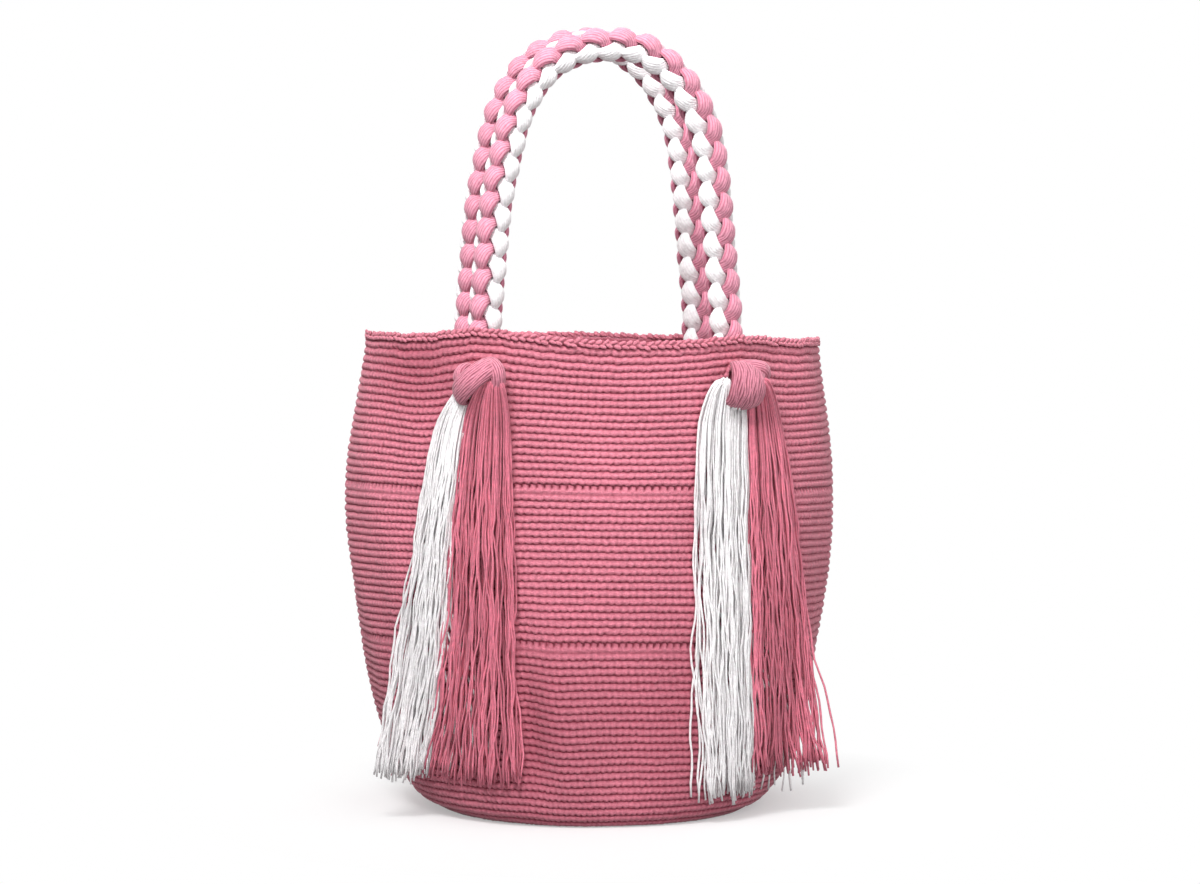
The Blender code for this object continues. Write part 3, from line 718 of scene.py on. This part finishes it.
def make_rim(material, outer):
    """Chain edging round the rim: rounds of slanted loops over a rounded lip."""
    columns = STITCHES * COLUMNS_PER_STITCH
    angle = np.arange(columns) / columns * 2 * math.pi
    inner = wall(angle, np.full(columns, BODY_HEIGHT - ROW_PITCH * 0.6), WALL)
    turns = np.linspace(0.0, math.pi, 7)
    points = []
    for turn in turns:
        ring = (inner + outer) / 2 + (outer - inner) / 2 * math.cos(turn)
        ring[:, 2] = outer[:, 2] * (1 + math.cos(turn)) / 2 + inner[:, 2] * (1 - math.cos(turn)) / 2
        ring[:, 2] += 0.0012 * math.sin(turn)
        points.append(ring)
    points = np.array(points)
    stitch = np.arange(columns) / COLUMNS_PER_STITCH
    uv = stacked(stitch[None, :], ROW_COUNT + turns[:, None] / 2)
    # The lip under the loops carries an even painted shade.
    parts = [(points, grid_faces(len(turns), columns), uv, np.full(points.shape[:2], 0.35))]
    parts += [rim_loops(number, *sizes) for number, sizes in enumerate(RIM_ROUNDS)]
    return make_object("crochet_rim", material, *join_parts(parts))


def make_inside(material, eyelets):
    """Inner wall with the rows' backs, the floor and the turned base below it."""
    columns = 132
    angle = np.arange(columns) / columns * 2 * math.pi
    stitch = (angle / (2 * math.pi) * STITCHES)[None, :]
    levels = []
    for bottom, pitch in zip(ROW_BOTTOMS[1:], ROW_PITCHES[1:]):
        # Painted shade in the grooves at the rows' bottoms and under the rim, crest colour at the rows'
        # middles.
        levels += [(bottom, WALL - 0.0008, 0.15), (bottom + 0.5 * pitch, WALL + 0.0002, 0.8)]
    levels.append((BODY_HEIGHT - ROW_PITCH * 0.6, WALL, 0.3))
    heights, insets, lights = np.array(levels).T
    inner = wall(angle[None, :], heights[:, None], insets[:, None])
    distance = near_eyelet(inner, eyelets)
    faces = grid_faces(len(heights), columns)[:, ::-1]
    open_faces = distance.reshape(-1)[faces].mean(axis=1) > EYELET_RADIUS
    uv = stacked(stitch, (heights / ROW_PITCH)[:, None])
    light = np.broadcast_to(lights[:, None], inner.shape[:2]).copy()
    parts = [(inner, faces[open_faces], uv, light)]
    rounds = 22
    rings = np.arange(rounds * 2 + 1) / (rounds * 2)
    rope = np.abs(np.sin(math.pi * rings * rounds))
    discs = ((FLOOR, WALL, False, ROW_PITCH), (0.0004, ROPE_DEPTH, True, 0.0))
    for level, inset, faces_down, edge_height in discs:
        edge = wall(angle, np.full(columns, edge_height), inset)
        disc = edge[None, :, :] * rings[:, None, None]
        disc[..., 2] = level + (rope[:, None] - 1) * 0.0010 * (-1 if faces_down else 1)
        disc_faces = grid_faces(len(rings), columns)
        if faces_down:
            disc[..., 2] = np.maximum(disc[..., 2], 0.0002)
            disc[-1, :, 2] = 0.0004
            disc_faces = disc_faces[:, ::-1]
        # Painted shade between the rope rounds of the floor and the base.
        disc_light = np.broadcast_to(rope[:, None], disc.shape[:2]).copy()
        parts.append((disc, disc_faces, stacked(stitch, (rings * rounds)[:, None]), disc_light))
    return make_object("crochet_inside_and_base", material, *join_parts(parts))


# Yarn pieces


def section_angles(yarns, per_yarn, back, aspect):
    """Angles round a flat strand: whole yarns over its outer side, a few plain steps behind."""
    fine = np.linspace(math.radians(-28), math.radians(208), 2001)
    step = np.hypot(-aspect * np.sin(fine), np.cos(fine))
    travelled = np.concatenate(([0.0], np.cumsum((step[1:] + step[:-1]) / 2)))
    places = np.linspace(0, travelled[-1], yarns * per_yarn + 1)
    outer = np.interp(places, travelled, fine)
    inner = np.linspace(math.radians(208), math.radians(332), back + 2)[1:-1]
    share = np.tile(np.arange(per_yarn) / per_yarn, yarns)
    lift = np.concatenate((np.sqrt(np.maximum(1 - (2 * share - 1) ** 2, 0.0)), [0.0], np.zeros(back)))
    number = np.concatenate((np.repeat(np.arange(yarns), per_yarn), [yarns], np.full(back, yarns)))
    return np.concatenate((outer, inner)), lift, number


def strand_part(points, outs, half_width, half_thick, yarns, flute, seed, per_yarn=4, back=6, aspect=2.2):
    """Flat strand of side-by-side yarns swept along a path; outs point to its showing side."""
    rng = np.random.RandomState(seed)
    points = np.asarray(points, dtype=float)
    count = len(points)
    forward = unit(np.gradient(points, axis=0))
    outs = unit(outs - forward * (outs * forward).sum(axis=1, keepdims=True))
    sides = np.cross(outs, forward)
    angles, lift, number = section_angles(yarns, per_yarn, back, aspect)
    lengths = path_lengths(points)
    wander = smooth_waves(rng, yarns + 1, lengths / 0.012, (0.5, 1.1), 0.07)[number].T
    theta = angles[None, :] + wander
    size = smooth_waves(rng, yarns + 1, lengths / 0.015, (0.4, 1.0), 0.3)[number].T
    ends = np.minimum(np.arange(count), np.arange(count)[::-1]) / 3.0
    close = np.maximum(np.sqrt(np.clip(1 - (1 - np.clip(ends, 0, 1)) ** 2, 0.0, 1.0)), 0.03)
    half_width = np.broadcast_to(half_width, count) * close
    half_thick = np.broadcast_to(half_thick, count) * close
    cosine, sine = np.cos(theta), np.sin(theta)
    in_side = half_width[:, None] * cosine
    in_out = half_thick[:, None] * sine
    normal_side = half_thick[:, None] * cosine
    normal_out = half_width[:, None] * sine
    norm = np.maximum(np.hypot(normal_side, normal_out), 1e-9)
    rise = flute * lift[None, :] * (1 + size) * close[:, None]
    in_side = in_side + rise * normal_side / norm
    in_out = in_out + rise * normal_out / norm
    surface = (points[:, None, :] + sides[:, None, :] * in_side[..., None]
               + outs[:, None, :] * in_out[..., None])
    uv = stacked((number + lift * 0.4)[None, :] * 1.3, (lengths / MILLIMETRE)[:, None])
    # Painted shade between the yarns and on the side turned away from the showing side, which darkens the
    # creases between wraps.
    light = lift[None, :] * (0.35 + 0.65 * np.clip(sine, 0.0, 1.0) ** 0.6)
    return surface, grid_faces(count, len(angles)), uv, light


def yarn_tubes(paths, radius, seed):
    """Thin yarns along many paths, closed at their cut ends."""
    rng = np.random.RandomState(seed)
    paths = np.asarray(paths, dtype=float)
    lines, count = paths.shape[:2]
    forward = unit(np.gradient(paths, axis=1))
    side = unit(np.cross(forward, np.array((0.31, 0.95, 0.0))))
    out = np.cross(side, forward)
    lengths = path_lengths(paths)
    turn = np.arange(YARN_SIDES) / YARN_SIDES * 2 * math.pi
    uneven = smooth_waves(rng, lines, lengths[0] / 0.02, (0.5, 1.3), 0.14)
    girth = np.asarray(radius).reshape(-1, 1) * (1 + uneven)
    girth[:, -1] *= 0.95
    girth[:, 0] *= 0.7
    points = (paths[:, :, None, :]
              + side[:, :, None, :] * (girth[:, :, None] * np.cos(turn))[..., None]
              + out[:, :, None, :] * (girth[:, :, None] * np.sin(turn))[..., None])
    first_end = np.arange(YARN_SIDES)[::-1]
    last_end = np.arange(YARN_SIDES) + (count - 1) * YARN_SIDES
    faces = np.concatenate((grid_faces(count, YARN_SIDES), [first_end], [last_end]))
    faces = (faces[None] + (np.arange(lines) * count * YARN_SIDES)[:, None, None]).reshape(-1, 4)
    uv = stacked(np.arange(lines)[:, None, None] * 1.7 + turn / 3, (lengths / MILLIMETRE)[:, :, None])
    tone = rng.uniform(0.45, 1.0, (lines, 1, 1))
    return points, faces, uv, np.broadcast_to(tone, points.shape[:3]).copy()


def smooth_route(points, count):
    """Evenly spaced points on a smooth curve through the given points; no count gives whole braid levels."""
    points = [np.asarray(point, dtype=float) for point in points]
    fine = []
    for index in range(len(points) - 1):
        p0 = points[max(index - 1, 0)]
        p1, p2 = points[index], points[index + 1]
        p3 = points[min(index + 2, len(points) - 1)]
        t = (np.arange(24) / 24)[:, None]
        fine.append(0.5 * (2 * p1 + (p2 - p0) * t + (2 * p0 - 5 * p1 + 4 * p2 - p3) * t ** 2
                           + (3 * p1 - p0 - 3 * p2 + p3) * t ** 3))
    fine = np.concatenate(fine + [points[-1][None, :]])
    travelled = path_lengths(fine)
    if count is None:
        levels = round(float(travelled[-1]) / LEVEL_PITCH)
        count = levels * STEPS_PER_LEVEL + 1
    wanted = np.linspace(0, travelled[-1], count)
    return np.stack([np.interp(wanted, travelled, fine[:, axis]) for axis in range(3)], axis=1)


def handle_route(left_foot, right_foot, rise):
    """Centre line of one handle, STEPS_PER_LEVEL points for each crossing of its strands."""
    middle = (left_foot + right_foot) / 2
    half_span = (right_foot - left_foot) / 2
    rim_rise = BODY_HEIGHT - (left_foot[2] + right_foot[2]) / 2
    arch = [middle + half_span * across + UP * (rim_rise + rise * up) for across, up in ARCH_ROUTE]
    return smooth_route([left_foot, *arch, right_foot], None)


def make_strands(prefix, route, outward, materials):
    """Four braided strands: plump beads where they lie over, pinched where they pass under."""
    count = len(route)
    along = unit(np.gradient(route, axis=0))
    facing = unit(outward - along * (along @ outward)[:, None])
    arch_out = np.cross(facing, along)
    level = np.arange(count) / STEPS_PER_LEVEL
    last = level[-1]
    ends = np.minimum(level, last - level)
    size = 0.80 + 0.20 * smooth_step(ends / 2)
    made = []
    strands = (("pink", 1, 45), ("pink", 1, 225), ("white", -1, 45), ("white", -1, 225))
    for number, (tint, turning, start) in enumerate(strands):
        over_at = 0.0 if turning > 0 else 1.0
        nearest = np.round((level - over_at) / 2) * 2 + over_at
        phase = level - nearest
        swing = (math.pi / 2) * (nearest + 0.22 * phase + 0.78 * np.sign(phase) * np.abs(phase) ** 7)
        azimuth = math.radians(start) + turning * swing
        over = 1 - np.abs(phase) ** 2.6
        radius = (0.0020 + 0.0056 * over) * size
        half_width = (0.0024 + 0.0029 * over ** 0.8) * size
        half_thick = (0.0014 + 0.0014 * over) * size
        radial = arch_out * np.cos(azimuth)[:, None] + facing * np.sin(azimuth)[:, None]
        points = route + radial * radius[:, None]
        part = strand_part(points, radial, half_width, half_thick, YARNS_PER_STRAND, STRAND_FLUTE,
                           40 + number)
        name = f"{prefix}_{tint}_strand_{number % 2 + 1}"
        piece = make_object(name + "_yarn", materials[tint], *part)
        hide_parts(name)
        made.append(piece)
    return made


class Wall:
    """Reads how far the smooth outside reaches to the front or back at any x and height."""

    def __init__(self):
        self.levels = np.linspace(-0.01, 0.30, 125)
        self.angles = np.linspace(0.0, math.pi, 181)
        self.curves = {}
        for side in (-1, 1):
            table = []
            for level in self.levels:
                height = np.full(len(self.angles), max(level, 0.002))
                for _ in range(3):
                    points = wall(side * self.angles, height)
                    height = np.clip(height + level - points[:, 2], 0.0, BODY_HEIGHT)
                table.append((points[::-1, 0], np.abs(points[::-1, 1])))
            self.curves[side] = table

    def reach(self, x, z, side):
        """Depth of the outside at arrays of x and z; yarn past the side hangs straight down."""
        x, z = np.broadcast_arrays(x, z)
        level = np.clip((z - self.levels[0]) / (self.levels[1] - self.levels[0]), 0, len(self.levels) - 1.001)
        low = level.astype(int)
        share = level - low
        found = np.zeros(x.shape)
        for index in np.unique(low):
            here = low == index
            below = np.interp(x[here], *self.curves[side][index], left=0.0, right=0.0)
            above = np.interp(x[here], *self.curves[side][index + 1], left=0.0, right=0.0)
            found[here] = below + (above - below) * share[here]
        return np.maximum(found, SIDE_HANG)


def make_tassel(name, seat, side, length, edges, roots, strays, tint, material, surface, seed):
    """Loose yarn ends that gather under the knot and spread as they fall along the wall."""
    rng = np.random.RandomState(seed)
    lines = YARNS_PER_TASSEL
    share = np.concatenate(((0.0, 0.005, 0.014, 0.027, 0.045, 0.07), np.linspace(0.1, 1.0, 26)))[None, :]
    bedded = lines // 3
    loose = lines - bedded
    across = np.concatenate(((np.arange(bedded) + 0.5) / bedded, (np.arange(loose) + 0.5) / loose))
    across = np.clip(across + rng.normal(0, 0.008, lines), 0.01, 0.99)
    layer = np.concatenate((rng.uniform(0.0, 0.15, bedded), 1 - 0.8 * rng.uniform(size=loose) ** 1.6))
    clump = np.sin(across * 2 * math.pi * rng.uniform(2.4, 3.2) + rng.uniform(0, 6)) * 0.018
    own_length = length * (1 + rng.normal(0, 0.009, lines) - 0.03 * rng.uniform(size=lines) ** 4)
    left, right = read_table(edges, share * np.ones((lines, 1)))
    place = across[:, None] + clump[:, None] * smooth_step(share * 1.5)
    place = place + smooth_waves(rng, lines, share[0], (0.6, 1.3, 2.4), 0.06) * smooth_step(share * 1.6)
    stray = np.zeros((lines, 1))
    for number, amount in strays:
        stray[number] = amount
    place = place + stray * smooth_step((share - 0.45) / 0.5)
    bowed = np.zeros((lines, 1))
    bowed[bedded + 1] = -0.09
    bowed[bedded + 3] = -0.05
    place = place + bowed * bell(share, 0.66, 0.13)
    if tint == "white":
        behind = YARNS_DRIFTING_BEHIND
        place[:behind] += np.linspace(0.5, 1.7, behind)[:, None] * smooth_step((share - 0.25) / 0.7)
        layer[:behind] = 0.0
    arch = 1 - (2 * np.clip(place, 0, 1) - 1) ** 2
    x = seat[0] + left + (right - left) * place
    top = seat[2] - KNOT_HALF_HEIGHT * 0.75
    z = top - (own_length[:, None] + KNOT_HALF_HEIGHT * 0.25) * share
    fullness = 0.80 + 0.20 * np.sin(math.pi * np.minimum(share * 1.4, 1.0))
    mound = 0.35 + 0.65 * np.clip(arch, 0.0, 1.0) ** 0.5
    thickness = TASSEL_THICKNESS * fullness * mound
    bed = surface.reach(x, z, side) + 0.0008 + YARN_RADIUS
    y = bed + np.maximum(thickness - 2 * YARN_RADIUS, 0.0) * layer[:, None]
    waves = smooth_waves(rng, lines, share[0], (1.5, 3.5, 7.0), 0.0016) * smooth_step(share * 3)
    x = x + waves
    y = y + np.abs(smooth_waves(rng, lines, share[0], (2.0, 5.0), 0.0008)) * smooth_step(share * 4)
    flare = smooth_step((share - 0.9) / 0.1) * rng.normal(0.0, 0.0016, (lines, 1))
    x = x + flare
    first = 0.0
    for part, root_x, root_out, root_z, reach in roots:
        mine = (across >= first) & (across < first + part)
        deep = surface.reach(np.array([seat[0] + root_x]), np.array([seat[2]]), side)[0]
        left_to_go = 1 - np.clip(share[0] / reach, 0.0, 1.0)[None, :]
        pull = smooth_step(left_to_go)
        shoulder = 1 - np.sqrt(1 - left_to_go ** 2)
        spread = (place[mine] - first - part / 2) * 0.008
        x[mine] += (seat[0] + root_x + spread - x[mine]) * shoulder
        y[mine] += (deep + root_out + layer[mine][:, None] * 0.0045 - y[mine]) * pull
        uneven = 0.0008 * rng.normal(size=(mine.sum(), 1))
        start_z = seat[2] + root_z + uneven - own_length[mine][:, None] * share
        z[mine] += (start_z - z[mine]) * pull
        first += part
    paths = np.stack((x, side * y, z), axis=-1)
    radius = YARN_RADIUS * rng.uniform(0.92, 1.14, lines)
    made = make_object(name + "_yarn", material, *yarn_tubes(paths, radius, seed + 1))
    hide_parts(name)
    return made


def make_knot(name, seat, normal, hand, material, seed):
    """Wrapped knot outside an eyelet, with the gathered strands that come through it."""
    across = np.cross(UP, normal) * (1 if normal[1] < 0 else -1)
    mm = MILLIMETRE

    def place(right, up, out):
        return seat + across * right + UP * up + normal * out

    neck = smooth_route([
        place(0, BEND_RADIUS + 4 * mm, -WALL - BEND_RADIUS), place(0, 3.5 * mm, -WALL - 8.5 * mm),
        place(0, 0.2 * mm, -WALL - 2 * mm), place(0, 0, 3 * mm), place(-0.5 * mm, -0.5 * mm, 8 * mm),
    ], NECK_STEPS)
    girth = NECK_RADIUS * 0.92
    parts = [strand_part(neck, np.tile(across, (NECK_STEPS, 1)), girth, girth, NECK_YARNS,
                         STRAND_FLUTE, seed, per_yarn=3, back=2, aspect=1.0)]
    steps = np.linspace(0, 1, KNOT_STEPS)
    for number, (stops, ways, half_width, half_thick, yarns) in enumerate(KNOT_WRAPS[hand]):
        route = smooth_route([place(*(value * mm for value in stop)) for stop in stops], KNOT_STEPS)
        spots = np.linspace(0, 1, len(ways))
        local = np.stack([np.interp(steps, spots, [way[axis] for way in ways]) for axis in range(3)], axis=1)
        outs = local[:, :1] * across + local[:, 1:2] * UP + local[:, 2:] * normal
        swell = np.sin(math.pi * np.linspace(0.12, 0.88, KNOT_STEPS)) ** 0.5
        width = half_width * mm * (0.62 + 0.38 * swell)
        parts.append(strand_part(route, outs, width, half_thick * mm * swell, yarns, WRAP_FLUTE,
                                 seed + 3 + number, aspect=half_width / half_thick))
    made = make_object(name + "_yarn", material, *join_parts(parts))
    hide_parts(name)
    return made


def make_eyelet_rings(material, eyelets):
    """Stitched edge round each eyelet."""
    around, sides = 72, 8
    parts = []
    for seat, normal in eyelets:
        across = np.cross(UP, normal)
        turn = np.arange(around) / around * 2 * math.pi
        tube = np.arange(sides) / sides * 2 * math.pi
        bead = 1 + 0.22 * np.abs(np.sin(turn * 9)) - 0.12
        radial = across * np.cos(turn)[:, None] + UP * np.sin(turn)[:, None]
        centre = seat + radial * (EYELET_RADIUS + 0.0008) - normal * (WALL * 0.45)
        girth_in = 0.0015 * bead
        girth_out = 0.0023 * bead
        surface = (centre[:, None, :] + radial[:, None, :] * (girth_in[:, None] * np.cos(tube))[..., None]
                   + normal * (girth_out[:, None] * np.sin(tube))[..., None])
        surface = np.concatenate((surface, surface[:1]))
        uv = stacked(tube[None, :], np.arange(around + 1)[:, None] / 4.0)
        # Painted shade between the stitched beads of each edge.
        light = 0.25 + 0.6 * np.abs(np.sin(np.append(turn, 0.0) * 9))
        light = np.broadcast_to(light[:, None], surface.shape[:2])
        parts.append((surface, grid_faces(around + 1, sides), uv, light.copy()))
    return make_object("eyelet_edges", material, *join_parts(parts))


make_camera()
make_world()
make_lamp("key", (-0.42, -0.95, 1.45), (0.0, 0.0, 0.50), 0.6, 2.7, 52.0)
make_lamp("fill", (0.5, -2.3, 1.1), (0.0, 0.0, 0.50), 1.2, 2.6, 60.0)
make_floor()

crochet = crochet_material()
# Groove colours are painted shade between yarns on the braids and the knot; on the tassels they are the dark
# end of a random tone per yarn.
braid_yarns = {
    "pink": yarn_material("braid_pink_yarn", linear(232, 161, 182), linear(186, 100, 123)),
    "white": yarn_material("braid_white_yarn", linear(252, 251, 252), linear(240, 234, 237), 0.2, 0.5),
}
knot_yarn = yarn_material("knot_pink_yarn", linear(224, 143, 163), linear(126, 46, 64))
tassel_yarns = {
    "pink": yarn_material("tassel_pink_yarn", linear(244, 138, 160), linear(102, 18, 34), sheen=0.12),
    "white": yarn_material("tassel_white_yarn", linear(253, 251, 252), linear(245, 238, 240), 0.2, 0.7),
}

eyelet_seats = {}
for face, side in (("front", -1), ("back", 1)):
    for hand, direction in (("left", -1), ("right", 1)):
        seat_x = EYELET_SHIFT + direction * EYELET_HALF_SPACING
        eyelet_seats[face, hand] = wall_seat(seat_x, EYELET_HEIGHT, side)
eyelets = list(eyelet_seats.values())

pieces = []
walls, top_ring = make_walls(crochet, eyelets)
pieces += walls
pieces.append(make_rim(crochet, top_ring))
pieces.append(make_inside(crochet, eyelets))
pieces.append(make_eyelet_rings(crochet, eyelets))
for piece in pieces:
    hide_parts("crochet_body")

wall_surface = Wall()
for face, side, extra in (("front", -1, 0.0), ("back", 1, BACK_HANDLE_EXTRA_RISE)):
    feet = []
    for hand in ("left", "right"):
        seat, normal = eyelet_seats[face, hand]
        foot = seat - normal * (WALL + GAP + BEND_RADIUS)
        foot[2] = seat[2] + BEND_RADIUS + GAP
        feet.append(foot)
        seed = {"left": 100, "right": 200}[hand] + (0 if face == "front" else 50)
        pieces.append(make_knot(f"knot_{face}_{hand}", seat, normal, hand, knot_yarn, seed))
        for tint, length, edges, roots, strays in TASSELS[hand]:
            if face == "back" and tint == "white":
                edges = tuple((share, left * BACK_WHITE_NARROWER, right) for share, left, right in edges)
            tassel_seed = seed + (7 if tint == "pink" else 17)
            pieces.append(make_tassel(f"tassel_{face}_{hand}_{tint}", seat, side, length, edges, roots,
                                      strays, tint, tassel_yarns[tint], wall_surface, tassel_seed))
    route = handle_route(feet[0], feet[1], HANDLE_RISE + extra)
    pieces += make_strands(f"{face}_handle", route, np.array((0.0, float(side), 0.0)), braid_yarns)

for piece in pieces:
    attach(piece, "root")

scene = bpy.context.scene
scene.view_settings.view_transform = "Standard"
